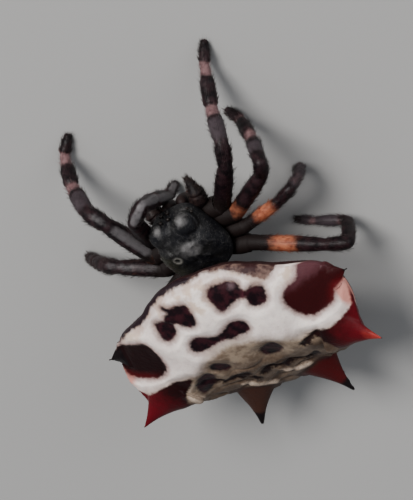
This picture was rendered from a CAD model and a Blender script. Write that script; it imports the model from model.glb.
"""The looks of the spiny orb weaver: skins, markings, bristles, light and camera.

Mesh code works in millimetres and is brought to metres when a piece is made.  +X is the
spider's right, +Y is forward and +Z is up, as in the solids.
"""

from math import asin, cos, pi, radians, sin

import bpy
import numpy as np
from mathutils import Matrix, Vector, noise


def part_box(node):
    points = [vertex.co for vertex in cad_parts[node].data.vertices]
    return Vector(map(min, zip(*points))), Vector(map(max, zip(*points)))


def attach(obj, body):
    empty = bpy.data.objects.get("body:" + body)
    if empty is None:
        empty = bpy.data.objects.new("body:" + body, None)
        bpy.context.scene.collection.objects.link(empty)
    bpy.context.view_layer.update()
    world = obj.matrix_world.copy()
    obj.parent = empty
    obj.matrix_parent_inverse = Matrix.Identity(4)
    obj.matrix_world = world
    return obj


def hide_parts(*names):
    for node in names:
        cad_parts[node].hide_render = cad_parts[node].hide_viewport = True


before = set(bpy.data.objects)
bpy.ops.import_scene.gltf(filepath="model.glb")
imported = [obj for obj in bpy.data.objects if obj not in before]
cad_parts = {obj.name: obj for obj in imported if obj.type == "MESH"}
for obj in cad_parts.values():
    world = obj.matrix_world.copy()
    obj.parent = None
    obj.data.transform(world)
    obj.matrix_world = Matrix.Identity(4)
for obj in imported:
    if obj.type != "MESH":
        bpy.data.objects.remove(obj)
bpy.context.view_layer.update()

MM = 0.001
BODY = "root"
SIDES = {"right": 1, "left": -1}
ROUND_SIDES = 48
STANCE_CENTRE = np.array((-0.4535, 2.1304, 0.0))

# Abdomen, in millimetres, as in the solids but for small refinements of the outline
HALF_SPAN = 6.0
ABDOMEN_PLACE = np.array((0.0, 0.0, 4.6))
ABDOMEN_TURN = np.array(Matrix.Rotation(radians(12.0), 3, "X"))
ABDOMEN = (ABDOMEN_PLACE, ABDOMEN_TURN)
ABDOMEN_VOXEL = 0.05
PLATE_STEPS = 26
BELLY_STEPS = 36
PLATE_EDGE = [
    (0.00, 2.70, 0.45), (1.40, 2.62, 0.43), (2.55, 2.10, 0.36), (3.50, 1.50, 0.26), (4.45, 1.12, 0.16),
    (5.14, 0.62, 0.02), (5.54, -0.20, 0.06), (5.60, -1.05, 0.28), (5.44, -1.95, 0.56),
    (5.08, -3.00, 0.56), (4.10, -3.62, 0.15), (3.10, -3.90, -0.25), (2.20, -4.32, -0.75),
    (1.30, -5.00, -1.08), (0.00, -4.95, -1.08),
]
PLATE_TOP = np.array((0.0, -0.30, 1.19))
PLATE_CURVE_FRONT = 4.0
PLATE_CURVE_REAR = 1.5
CURVE_CHANGE_START = 2.0
CURVE_CHANGE_LENGTH = 5.0
BELLY_LOW_POINT = np.array((0.0, -1.20, -3.05))
# Share of the plate's width left, and share of the depth reached
BELLY_RINGS = [
    (1.00, 0.00), (1.00, 0.07), (0.97, 0.15), (0.87, 0.25),
    (0.69, 0.42), (0.49, 0.63), (0.30, 0.85), (0.15, 1.00),
]
# Root, tip, half width and half thickness of each kind of spine, on the right side
SPINES = {
    "front": ((4.55, -0.05, -0.10), (HALF_SPAN, 0.00, 0.00), 0.84, 0.50),
    "rear": ((3.90, -2.10, 0.20), (HALF_SPAN, -3.10, 1.14), 1.48, 0.85),
    "tail": ((1.40, -3.75, -1.25), (2.33, -6.32, -0.73), 1.40, 0.78),
}
EACH_SPINE = [(kind, side) for side in SIDES.values() for kind in SPINES]
SPINE_SIDES = 32
SPINE_STEPS = 26
SPINE_FLARE = 1.12
SPINE_ALLOWANCE = 1.12
ROOT_ROUNDS = 14
SETTLE_ROUNDS = 12
TIP_SLIMNESS = 0.42
FRONT_SWELL = 0.45
# Place, lean, radius and length of the cones on the right side
SPINNERET_CONES = (
    ((0.24, 0.20), (0.10, 0.10), 0.20, 0.66),
    ((0.10, -0.02), (0.04, 0.00), 0.12, 0.54),
    ((0.23, -0.24), (0.10, -0.12), 0.18, 0.64),
)
# How far along each cone and how wide there, and the same for the ring that they stand on
CONE_PROFILE = ((0, 1), (0.3, 1.03), (0.55, 0.9), (0.6, 0.82), (0.85, 0.66), (1.0, 0.34))
SPINNERET_RING = ((0.0, 0.98), (0.10, 1.04), (0.22, 1.05), (0.34, 0.98), (0.38, 0.8))
SPINNERET_RING_RADIUS = 0.56
SPINNERET_VOXEL = 0.03

# Head and chest, in millimetres
CHEST_PLACE = np.array((-0.42, 2.84, 0.0))
CHEST_TURN = np.array(Matrix.Rotation(radians(6.0), 3, "Z"))
CHEST = (CHEST_PLACE, CHEST_TURN)
CHEST_VOXEL = 0.035
CARAPACE_EDGE = [
    (0.00, 1.95), (0.68, 1.88), (1.10, 1.58), (1.26, 1.05), (1.47, 0.40),
    (1.60, -0.30), (1.36, -0.95), (0.80, -1.34), (0.00, -1.46),
]
CARAPACE_EDGE_HEIGHT = 2.94
CARAPACE_CREST = np.array((0.0, 0.35, 4.08))
CARAPACE_REAR_SLOPE = 0.56
CARAPACE_FULLNESS = 4.0
CARAPACE_STEPS = 30
HUMP_PLACE = np.array((0.62, 1.22, 3.66))
HUMP_RADII = np.array((0.58, 0.638, 0.456))
HUMP_DIVISIONS = (32, 18)
EYE_DIVISIONS = (24, 14)
FOVEA = (0.0, -0.50)
PALE_RING = (-0.62, 0.0)
PALE_RING_RADIUS = 0.15
PALE_PATCH = (0.27, 0.20)
TUFTS = (((0.72, 1.58), 0.24), ((-0.50, 1.66), 0.18))
GROOVE_DEPTH = 0.06
RAY_COUNT = 9
RAY_HEIGHT = 0.018
RING_HEIGHT = 0.03
PIT_DEPTH = 0.08
MOAT_PLACE = 0.64
MOAT_DEPTH = 0.05
CHEST_ROUGHNESS = 0.03
# Height and share of the full width, for the carapace's underside, the core and the sternum
SHELL_UNDERSIDE = ((2.86, 0.995), (2.80, 0.94), (2.74, 0.84))
CHEST_CORE = ((2.95, 0.70), (2.7, 0.74), (2.45, 0.70), (2.2, 0.62), (2.0, 0.50))
CORE_STRETCH = 1.05
STERNUM = ((1.78, 0.70), (1.82, 0.86), (1.92, 0.98), (2.1, 1.0), (2.5, 1.0))
STERNUM_HALF_WIDTH = 0.80
STERNUM_HALF_LENGTH = 1.18
CHELICERA_PLACE = np.array((0.38, 1.70, 2.10))
CHELICERA_RADII = np.array((0.32, 0.33, 0.52))
JAW_SIDES = 36
JAW_STEPS = 24
FANG_RADIUS = 0.075
FANG_SIDES = 14
FANG_STEPS = 12
PALP_RADII = (0.36, 0.40, 0.36, 0.24, 0.09)
PALP_PATHS = {
    "right": ((0.98, 1.48, 2.30), (1.24, 1.56, 2.56), (1.38, 1.86, 2.68), (1.41, 2.26, 2.64),
              (1.29, 2.66, 2.44)),
    "left": ((-0.98, 1.48, 2.30), (-1.10, 1.76, 2.32), (-1.12, 2.00, 2.26), (-1.06, 2.12, 1.96),
             (-0.96, 2.12, 1.60)),
}
PALP_NARROWING = 0.16
PALP_STEPS = 60
PALP_SIDES = 22
EYE_NAMES = ("front_median", "rear_median", "front_lateral", "rear_lateral")
PEDICEL_FRONT = np.array((-0.19, 1.50, 2.45))
PEDICEL_REAR = np.array((-0.06, 0.98, 2.50))
# How far along the waist, and its radius there
WAIST = ((-0.8, 0.30), (-0.2, 0.27), (0.1, 0.22), (0.5, 0.19), (0.9, 0.22), (1.3, 0.26), (1.7, 0.26))

# Legs, in millimetres: lengths of femur, patella, tibia, metatarsus and tarsus, front pair first
LEG_LENGTHS = {
    1: (2.80, 1.10, 1.90, 1.90, 1.10),
    2: (2.70, 1.05, 1.75, 1.70, 0.95),
    3: (2.00, 0.85, 1.10, 1.00, 0.65),
    4: (3.20, 1.10, 1.95, 1.70, 0.85),
}
HIP_PLACES = {1: (1.90, 0.84), 2: (2.26, 0.26), 3: (2.24, -0.48), 4: (1.94, -1.24)}
COXA_STARTS = {1: (0.78, 0.94), 2: (1.02, 0.38), 3: (1.03, -0.32), 4: (0.84, -0.95)}
HIP_HEIGHT = 2.40
COXA_HEIGHT = 2.26
LEG_PARTS = ("coxa", "femur", "tibia", "metatarsus", "tarsus")
# Heading and rise of femur, patella, tibia and metatarsus, and heading of the tarsus, in degrees
LEG_POSES = {
    "right_1": ((41, 24), (21, -2), (-21, -55), (3, -43), 18),
    "right_2": ((59, 13), (36, 35), (-42, -62), (-60, -59), -55),
    "right_3": ((76, 1), (66, -1), (64, -79), (-112, -71), -111),
    "right_4": ((114, 0), (105, 4), (-64, -75), (-74, -9), -72),
    "left_1": ((24, 45), (52, 12), (-149, -69), (-164, -66), 15),
    "left_2": ((-14, 22), (-44, -19), (-40, -50), (-16, -53), 38),
    "left_3": ((-63, 5), (-79, -27), (-89, -50), (-99, -51), -95),
    "left_4": ((-118, 2), (-150, -6), (165, -42), (150, -24), 150),
}
STEEPEST_TARSUS = 0.999
# Radius of the skin at places along the leg, counted in joints from the chest
LEG_PROFILE = [
    (0.00, 0.38), (0.55, 0.43), (0.92, 0.41), (1.03, 0.35), (1.12, 0.335), (1.35, 0.335), (1.60, 0.34),
    (1.85, 0.31), (1.97, 0.27), (2.03, 0.255), (2.35, 0.29), (2.70, 0.30), (2.96, 0.265), (3.04, 0.255),
    (3.30, 0.285), (3.65, 0.275), (3.94, 0.235), (4.02, 0.20), (4.12, 0.23), (4.50, 0.225),
    (4.94, 0.185), (5.02, 0.155), (5.12, 0.175), (5.60, 0.155), (5.90, 0.12), (6.00, 0.09),
]
LEG_THICKNESS = {
    "right_1": 1.13, "right_2": 1.04, "right_3": 0.84, "right_4": 1.0,
    "left_1": 1.10, "left_2": 1.23, "left_3": 1.08, "left_4": 1.0,
}
STOUT_FEET = {"left_1": 0.32, "right_1": 0.24, "right_2": 0.26, "left_2": 0.16}
LEG_SIDES = 28
LEG_STEP = 0.035
CORNER_ROUNDS = 14
CLAW_RADIUS = 0.020
CLAW_SIDES = 8
CLAW_STEPS = 10

# Outlines of the markings, seen from above the back plate in its own frame
SPOTS = [
    # Front pairs
    ((-1.89, 2.00), (-1.55, 1.92), (-0.80, 1.88), (-0.66, 1.56), (-0.72, 1.02), (-1.02, 0.88),
     (-1.45, 1.14), (-1.85, 1.34), (-1.94, 1.54), (-1.68, 1.74)),
    ((-2.53, 1.39), (-2.02, 1.40), (-1.80, 1.30), (-1.76, 1.14), (-1.91, 0.74), (-2.33, 0.54),
     (-2.55, 0.69), (-2.65, 1.13)),
    ((0.47, 1.96), (0.77, 2.13), (1.16, 2.12), (1.44, 2.10), (1.79, 1.88), (1.82, 1.62),
     (1.78, 1.36), (1.42, 1.25), (0.83, 1.09), (0.60, 1.12), (0.52, 1.44), (0.37, 1.80)),
    ((1.98, 1.36), (2.37, 1.42), (2.71, 1.28), (2.68, 0.95), (2.53, 0.66), (2.20, 0.63),
     (1.98, 0.72), (1.93, 1.08)),
    # Middle bar
    ((-1.54, 0.08), (-1.20, 0.20), (-0.71, 0.05), (-0.21, -0.06), (0.24, 0.16), (0.64, 0.35),
     (1.00, 0.28), (1.21, 0.05), (1.16, -0.22), (0.84, -0.39), (0.31, -0.37), (-0.11, -0.27),
     (-0.66, -0.37), (-1.07, -0.53), (-1.48, -0.46), (-1.66, -0.17)),
    # Rear pair
    ((-1.60, -1.50), (-1.34, -1.46), (-1.05, -1.85), (-1.06, -2.12), (-1.35, -2.12), (-1.66, -1.80)),
    ((0.76, -1.72), (1.18, -1.50), (1.60, -1.54), (1.66, -1.98), (1.21, -2.28), (0.77, -2.18)),
    # Rear margin
    ((-2.99, -2.57), (-2.62, -2.06), (-2.16, -1.88), (-1.94, -2.09), (-2.05, -2.43), (-2.59, -2.89),
     (-3.02, -3.05)),
]
BRIDGE = ((1.70, 1.72), (2.12, 1.37), (1.94, 1.08), (1.50, 1.28))
GREY_PLACE = (1.58, 1.88)
CORNER_SPOTS = [
    ((4.16, 0.82), (4.42, 1.36), (5.10, 1.20), (5.90, 0.70), (6.40, 0.25), (6.40, -0.25), (5.66, -0.36),
     (5.24, -0.41), (4.98, -0.66), (4.74, -0.91), (4.26, -0.94), (3.85, -0.98), (3.56, -0.80),
     (3.36, -0.36), (3.22, 0.04), (3.31, 0.44), (3.59, 0.70)),
    ((-6.40, 0.14), (-5.75, 0.25), (-5.08, 0.57), (-4.35, 0.63), (-3.70, 0.60), (-3.38, 0.28),
     (-3.31, -0.24), (-3.46, -0.82), (-3.77, -1.08), (-4.12, -1.13), (-4.64, -1.09), (-5.40, -0.84),
     (-5.75, -0.42), (-6.40, -0.30)),
]
RED_CORNERS = [
    ((3.05, -1.62), (4.06, -1.74), (4.90, -1.64), (5.45, -1.36), (5.62, -0.85), (5.66, -0.40),
     (7.00, -0.40), (7.00, -4.40), (4.20, -4.40), (3.85, -3.20), (3.55, -2.30)),
    ((-7.00, -1.30), (-5.65, -1.50), (-5.17, -1.84), (-4.27, -1.66), (-3.48, -1.60), (-2.70, -1.67),
     (-2.66, -1.86), (-3.36, -2.34), (-3.72, -3.02), (-4.05, -4.40), (-7.00, -4.40)),
]
# The edge of the white in front, as x and y
WHITE_FRONT = ((-6.0, 0.2), (-5.0, 0.66), (-4.43, 1.00), (-3.96, 1.18), (-3.35, 1.30), (-2.95, 1.58),
               (-2.51, 1.92), (-1.78, 2.34), (-1.04, 2.50), (-0.51, 2.56), (0.23, 2.60), (0.86, 2.64),
               (1.39, 2.55), (1.83, 2.30), (2.28, 1.94), (2.60, 1.66), (2.93, 1.40), (3.25, 1.40),
               (3.60, 1.60), (4.18, 1.75), (6.0, 1.7))
# Where the white turns beige, and the dark streaks behind it
BEIGE_START = ((-6.0, -1.7), (-2.30, -1.18), (-1.40, -0.56), (-0.60, -0.20), (0.04, -0.14),
               (0.90, -0.32), (1.50, -0.62), (1.96, -0.84), (2.72, -1.18), (6.0, -2.0))
STREAK_LINES = [
    ((-1.90, -2.95), (-1.39, -2.88), (-0.75, -2.86)),
    ((-1.39, -2.88), (-1.00, -3.18), (-0.67, -3.55)),
    ((-0.21, -3.29), (0.30, -3.05), (0.60, -3.24), (1.27, -3.20), (1.84, -3.43), (2.30, -3.30),
     (2.60, -3.10)),
    ((-2.54, -2.39), (-1.96, -2.77)),
    ((2.62, -2.12), (3.00, -1.98), (3.50, -1.80)),
]
# Cream folds behind the streaks
CREAM_LINES = [
    ((0.55, -3.66), (0.95, -3.86), (1.50, -3.98)),
    ((-1.45, -3.62), (-0.97, -4.12), (-0.45, -4.40)),
    ((-2.95, -2.00), (-3.46, -2.50), (-3.28, -3.12)),
    ((-4.30, 1.02), (-3.95, 0.98)),
]
DUSK_PLACE = (3.22, -2.56)
SPOT_DEPTH = 0.06
SPOT_EDGE = 0.12
SPOT_SPREAD = 0.05
CUSHION_HEIGHT = 0.10
CUSHION_REACH = 0.50
CREASE_DEPTH = 0.09
FOLD_HEIGHT = 0.08
SHELL_ROUGHNESS = 0.06

# Rings of colour along each leg, counted in joints: start, end and strength
PALE_RINGS = {
    "right_1": [(3.70, 4.03, 1.0), (4.72, 5.14, 0.95), (2.94, 3.04, 0.5)],
    "right_2": [(3.86, 4.18, 0.9), (4.84, 5.10, 0.7), (2.96, 3.06, 0.3)],
    "right_3": [(3.10, 3.80, 0.45), (4.70, 5.05, 0.6)],
    "right_4": [(4.10, 4.30, 0.5), (4.80, 5.10, 0.6)],
    "left_1": [(3.84, 4.14, 0.4), (4.76, 5.10, 0.4)],
    "left_2": [(3.74, 4.04, 0.95), (4.62, 5.12, 0.95), (2.96, 3.06, 0.4)],
    "left_3": [(3.86, 4.12, 0.4), (4.80, 5.10, 0.4)],
    "left_4": [(3.84, 4.14, 0.8), (4.80, 5.10, 0.7), (2.94, 3.06, 0.4)],
}
ORANGE_RINGS = {
    "right_2": [(1.02, 1.22, 0.9)],
    "right_3": [(1.34, 1.88, 1.0)],
    "right_4": [(1.30, 1.62, 1.1)],
    "left_2": [(0.90, 1.14, 0.3)],
    "left_3": [(1.30, 1.80, 0.22)],
    "left_4": [(1.24, 1.62, 1.0)],
}
GREY_RINGS = {
    "right_1": [(3.02, 3.62, 1.0), (4.45, 4.72, 0.4)],
    "right_2": [(3.30, 3.72, 0.9)],
    "right_3": [(3.05, 5.00, 0.9), (2.7, 3.0, 0.5)],
    "right_4": [(4.20, 5.60, 1.0)],
    "left_1": [(3.1, 3.7, 0.5)],
    "left_2": [(3.05, 3.66, 0.8)],
    "left_3": [(3.1, 3.6, 0.4)],
    "left_4": [(3.1, 3.7, 0.7)],
}
STRIPES = {
    "left_1": [(2.10, 5.70, 1.0)],
    "left_2": [(1.15, 1.95, 0.9), (2.05, 2.70, 0.4)],
    "left_3": [(1.10, 2.60, 0.45)],
}
STRIPE_SIDE = np.array((0.454, 0.319, 0.832))
RING_SOFTNESS = 0.13
ORANGE_SOFTNESS = 0.19
RING_NARROWING = 0.20

# Bristles
PALP_BRISTLES = 420
PALP_BRISTLE_LENGTHS = (0.10, 0.20)
LEG_BRISTLES = 1500
LEG_BRISTLE_LENGTHS = (0.10, 0.24)
LONG_SHARE = 0.05
LONG_STRETCH = 1.7
DOWN_SPACING = 0.055
DOWN_LENGTHS = (0.06, 0.12)
HAIR_SPACING = 0.22
HAIR_LENGTHS = (0.06, 0.11)
BRISTLE_POINTS = 7
BRISTLE_RADIUS = 0.008
DOWN_RADIUS = 0.004
BAKE_PATCH = 0.003

# Colours as red, green and blue, the way the shader takes them
COLOURS = {
    # White plate
    "white": (0.91, 0.805, 0.745),
    "white_shade": (0.69, 0.590, 0.555),
    "dirt": (0.44, 0.35, 0.31),
    "cream": (0.58, 0.43, 0.33),
    "valley": (0.42, 0.30, 0.28),
    "flush": (0.54, 0.23, 0.19),
    # Beige rear and front rim
    "tan_dark": (0.165, 0.112, 0.076),
    "tan_light": (0.32, 0.240, 0.172),
    "rear_brown": (0.060, 0.034, 0.022),
    "crease": (0.040, 0.020, 0.013),
    "dusk": (0.038, 0.018, 0.011),
    "puff": (0.58, 0.45, 0.35),
    "streak": (0.011, 0.0035, 0.003),
    "rim_dark": (0.032, 0.011, 0.012),
    "rim_grey": (0.17, 0.105, 0.085),
    "rim_left": (0.013, 0.005, 0.008),
    # Spines and belly
    "tail_brown": (0.038, 0.014, 0.009),
    "tail_red": (0.050, 0.0025, 0.003),
    "belly_dark": (0.012, 0.004, 0.005),
    "belly_brown": (0.036, 0.013, 0.012),
    "belly_yellow": (0.42, 0.34, 0.26),
    "red_root": (0.010, 0.0008, 0.001),
    "red": (0.086, 0.0016, 0.005),
    "red_glow": (0.30, 0.030, 0.024),
    "black_tip": (0.004, 0.0015, 0.002),
    # Spots
    "halo": (0.26, 0.17, 0.15),
    "halo_rear": (0.045, 0.024, 0.017),
    "spot": (0.005, 0.001, 0.0025),
    "spot_light": (0.026, 0.005, 0.008),
    "bridge": (0.052, 0.010, 0.016),
    "spot_grey": (0.13, 0.078, 0.088),
    "corner_halo": (0.24, 0.12, 0.11),
    "corner_left": (0.0075, 0.0008, 0.001),
    "corner_right": (0.026, 0.0015, 0.002),
    "corner_rosy": (0.070, 0.0015, 0.003),
    "corner_front": (0.080, 0.026, 0.032),
    # Head and chest
    "carapace": (0.0045, 0.0045, 0.0062),
    "carapace_grey": (0.014, 0.0135, 0.0135),
    "dust": (0.165, 0.158, 0.158),
    "olive": (0.034, 0.034, 0.023),
    "pale_ring": (0.19, 0.18, 0.16),
    "soft_side": (0.016, 0.007, 0.006),
    "mouth_dark": (0.005, 0.003, 0.004),
    "mouth_brown": (0.020, 0.011, 0.010),
    "claw_dark": (0.020, 0.005, 0.004),
    "claw_brown": (0.060, 0.018, 0.012),
    "eye_black": (0.004, 0.004, 0.005),
    "eye_amber": (0.020, 0.012, 0.008),
    # Legs
    "leg_dark": (0.004, 0.0015, 0.0025),
    "leg_brown": (0.020, 0.008, 0.010),
    "leg_base": (0.007, 0.0036, 0.0032),
    "leg_grey": (0.042, 0.031, 0.036),
    "leg_stripe": (0.120, 0.110, 0.114),
    "ring_pink": (0.200, 0.112, 0.114),
    "ring_dull": (0.140, 0.072, 0.075),
    "orange": (0.36, 0.120, 0.062),
    "orange_deep": (0.25, 0.062, 0.030),
    # Bristles and floor
    "leg_bristle_tip": (0.34, 0.28, 0.26),
    "down_root": (0.03, 0.028, 0.027),
    "down_tip": (0.22, 0.21, 0.20),
    "bristle_root": (0.006, 0.004, 0.004),
    "bristle_tip": (0.060, 0.045, 0.040),
    "floor": (0.31, 0.305, 0.30),
    "floor_light": (0.335, 0.33, 0.325),
}

# Camera: the photo's viewpoint, turned with the spider on to the floor
VIEW_TILT = radians(27.0)
VIEW_SWING = radians(21.0)
VIEW_ROLL = radians(21.5)
SPAN_PIXELS = 255.0
PHOTO_SIZE = (413, 500)
SPAN_CENTRE_PIXEL = (226.5, 315.5)
CAMERA_DISTANCE = 200.0
SENSOR = 36.0
FLOOR_REACH = 1.5
WARM_LIGHT = (1.0, 0.985, 0.96)
COOL_LIGHT = (0.95, 0.97, 1.0)
SKY_LIGHT = (0.80, 0.84, 0.90, 1.0)
SKY_STRENGTH = 0.34


# Shapes of numbers


def smooth_step(low, high, value):
    """Rise smoothly from 0 at low to 1 at high."""
    t = np.clip((value - low) / (high - low), 0.0, 1.0)
    return t * t * (3 - 2 * t)


def bell(offset, width):
    """Return 1 where the offset is 0, falling smoothly on both sides."""
    return np.exp(-(offset / width) ** 2)


def blot(x, y, centre, reach_x, reach_y):
    """Return 1 at a centre in plan view, falling smoothly all round."""
    return np.exp(-((x - centre[0]) / reach_x) ** 2 - ((y - centre[1]) / reach_y) ** 2)


def curve_through(table, places):
    """Read a table of place and value as a smooth curve."""
    table = np.asarray(table, float)
    where = np.interp(places, table[:, 0], np.arange(len(table)))
    index = np.clip(where.astype(int), 0, len(table) - 2)
    t = where - index
    t = t * t * (3 - 2 * t)
    return table[index, 1] * (1 - t) + table[index + 1, 1] * t


def rough_noise(points, scale, seed):
    """Return a smooth random value for every point; scale is its features per millimetre."""
    shift = Vector((seed * 13.7, seed * 5.1, seed * 9.3))
    return np.array([noise.noise(Vector(point) * scale + shift) for point in points])


# Mesh tools


def turns(count):
    """Return evenly spaced angles round a circle."""
    return np.arange(count) * 2 * pi / count


def level_circle(count):
    """Return points on a level circle of radius 1."""
    angle = turns(count)
    return np.stack([np.cos(angle), np.sin(angle), np.zeros(count)], axis=1)


def side_axes(along):
    """Return two directions square to another one, the first of them level."""
    across = np.cross(along, (0, 0, 1))
    across /= np.linalg.norm(across)
    return across, np.cross(across, along)


def spokes_round(angle, across, upward):
    """Return the directions at some angles between two square axes."""
    return np.outer(np.cos(angle), across) + np.outer(np.sin(angle), upward)


def skin_rings(rings):
    """Return points and faces of a closed surface through rings; a ring of one point is a pole."""
    rings = [np.atleast_2d(ring) for ring in rings]
    faces = []
    start = 0
    for lower, upper in zip(rings, rings[1:]):
        n, m = len(lower), len(upper)
        for i in range(max(n, m)):
            j = i + 1
            corners = (start + i % n, start + j % n, start + n + j % m, start + n + i % m)
            # At a pole two corners are one point, which leaves a triangle
            faces.append(tuple(dict.fromkeys(corners)))
        start += n
    if len(rings[0]) > 1:
        faces.append(tuple(reversed(range(len(rings[0])))))
    if len(rings[-1]) > 1:
        faces.append(tuple(range(start, start + len(rings[-1]))))
    return np.concatenate(rings), faces


def join(parts):
    """Put some surfaces together as one list of points and one of faces."""
    faces = []
    count = 0
    for part_points, part_faces in parts:
        faces += [tuple(i + count for i in face) for face in part_faces]
        count += len(part_points)
    return np.concatenate([part_points for part_points, _ in parts]), faces


def closed_curve(points, steps):
    """Return points on a smooth closed curve through the given ones."""
    points = np.asarray(points, float)
    before = np.roll(points, 1, axis=0)
    end = np.roll(points, -1, axis=0)
    after = np.roll(points, -2, axis=0)
    result = []
    for t in np.arange(steps) / steps:
        result.append(0.5 * (2 * points + (end - before) * t
                             + (2 * before - 5 * points + 4 * end - after) * t ** 2
                             + (3 * points - before - 3 * end + after) * t ** 3))
    return np.stack(result, axis=1).reshape(-1, points.shape[1])


def both_sides(half):
    """Mirror half an outline, whose first and last points lie on the middle plane."""
    right = np.array(half, float)
    left = right[-2:0:-1].copy()
    left[:, 0] *= -1
    return np.concatenate([right, left])


def ellipsoid(centre, radii, sides, stations):
    """Return the surface of an ellipsoid."""
    circle = level_circle(sides)
    rings = [centre - (0, 0, radii[2])]
    for k in range(1, stations):
        tilt = -pi / 2 + pi * k / stations
        rings.append(centre + (circle * cos(tilt) + (0, 0, sin(tilt))) * radii)
    rings.append(centre + (0, 0, radii[2]))
    return skin_rings(rings)


def tube_rings(path, radii, sides):
    """Return rings of points round a path, without twist, their directions and the path's."""
    tangent = np.gradient(path, axis=0)
    tangent /= np.linalg.norm(tangent, axis=1)[:, None]
    across = np.cross(tangent[0], (0, 0, 1))
    if np.linalg.norm(across) < 0.05:
        across = np.array((1.0, 0, 0))
    rings = []
    spokes = []
    for point, axis, radius in zip(path, tangent, radii):
        across = across - axis * (across @ axis)
        across /= np.linalg.norm(across)
        spokes.append(spokes_round(turns(sides), across, np.cross(axis, across)))
        rings.append(point + spokes[-1] * radius)
    return np.array(rings), np.array(spokes), tangent


def tube(path, radii, sides):
    """Return the closed surface of a round tube along a path, with rounded ends."""
    rings, _, tangent = tube_rings(path, radii, sides)
    start = path[0] - tangent[0] * radii[0] * 0.4
    end = path[-1] + tangent[-1] * radii[-1] * 0.4
    return skin_rings([start, *rings, end])


def remesh(parts, voxel):
    """Melt overlapping closed surfaces into one even skin of square faces."""
    points, faces = join(parts)
    mesh = bpy.data.meshes.new("rough")
    mesh.from_pydata(points.tolist(), [], faces)
    rough = new_object("rough", mesh)
    even = rough.modifiers.new("even", "REMESH")
    even.mode = "VOXEL"
    even.voxel_size = voxel
    bpy.context.view_layer.update()
    made = bpy.data.meshes.new_from_object(rough.evaluated_get(bpy.context.evaluated_depsgraph_get()))
    bpy.data.objects.remove(rough)
    points = np.zeros(len(made.vertices) * 3, np.float32)
    made.vertices.foreach_get("co", points)
    quads = [tuple(face.vertices) for face in made.polygons]
    edges = np.zeros(len(made.edges) * 2, np.int32)
    made.edges.foreach_get("vertices", edges)
    bpy.data.meshes.remove(made)
    return points.reshape(-1, 3).astype(float), quads, edges.reshape(-1, 2)


def relax(points, edges, rounds, weight=1.0):
    """Move every point towards the middle of its neighbours, over and over."""
    points = points.copy()
    number = len(points)
    count = np.bincount(edges.ravel(), minlength=number)
    weight = np.broadcast_to(weight, number)
    for _ in range(rounds):
        for axis in range(3):
            value = points[:, axis]
            total = np.bincount(edges[:, 0], value[edges[:, 1]], number)
            total += np.bincount(edges[:, 1], value[edges[:, 0]], number)
            points[:, axis] += (total / count - value) * weight
    return points


def settle(points, edges, rounds):
    """Smooth a skin without shrinking it."""
    for _ in range(rounds):
        points = relax(points, edges, 1, 0.50)
        points = relax(points, edges, 1, -0.53)
    return points


def outward(points, quads):
    """Return the outward direction at every point of a skin."""
    corners = np.array([face[:4] if len(face) > 3 else (*face, face[2]) for face in quads])
    a, b, c, d = (points[corners[:, k]] for k in range(4))
    normal = np.cross(c - a, d - b)
    total = np.zeros_like(points)
    for k in range(4):
        for axis in range(3):
            total[:, axis] += np.bincount(corners[:, k], normal[:, axis], len(points))
    return total / (np.linalg.norm(total, axis=1)[:, None] + 1e-12)


def to_part(points, local):
    """Take points from a local frame to the frame of the part."""
    place, turn = local
    return points @ turn.T + place - STANCE_CENTRE


def new_object(name, data):
    """Make an object and link it to the scene."""
    made = bpy.data.objects.new(name, data)
    bpy.context.scene.collection.objects.link(made)
    return made


def add_piece(name, surface, material, stands_for=(), values=None):
    """Make a smooth piece that rides on the body, and say what it stands for.

    The surface is points in millimetres and faces; the values are numbers on its points for
    the material to read.
    """
    points, faces = surface
    mesh = bpy.data.meshes.new(name)
    mesh.from_pydata((points * MM).tolist(), [], faces)
    mesh.validate()
    mesh.shade_smooth()
    mesh.materials.append(material)
    for key, value in (values or {}).items():
        layer = mesh.attributes.new(key, "FLOAT", "POINT")
        layer.data.foreach_set("value", value.astype(np.float32))
    piece = new_object(name, mesh)
    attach(piece, BODY)
    if stands_for:
        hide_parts(*stands_for)
    return mesh


# Materials


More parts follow.
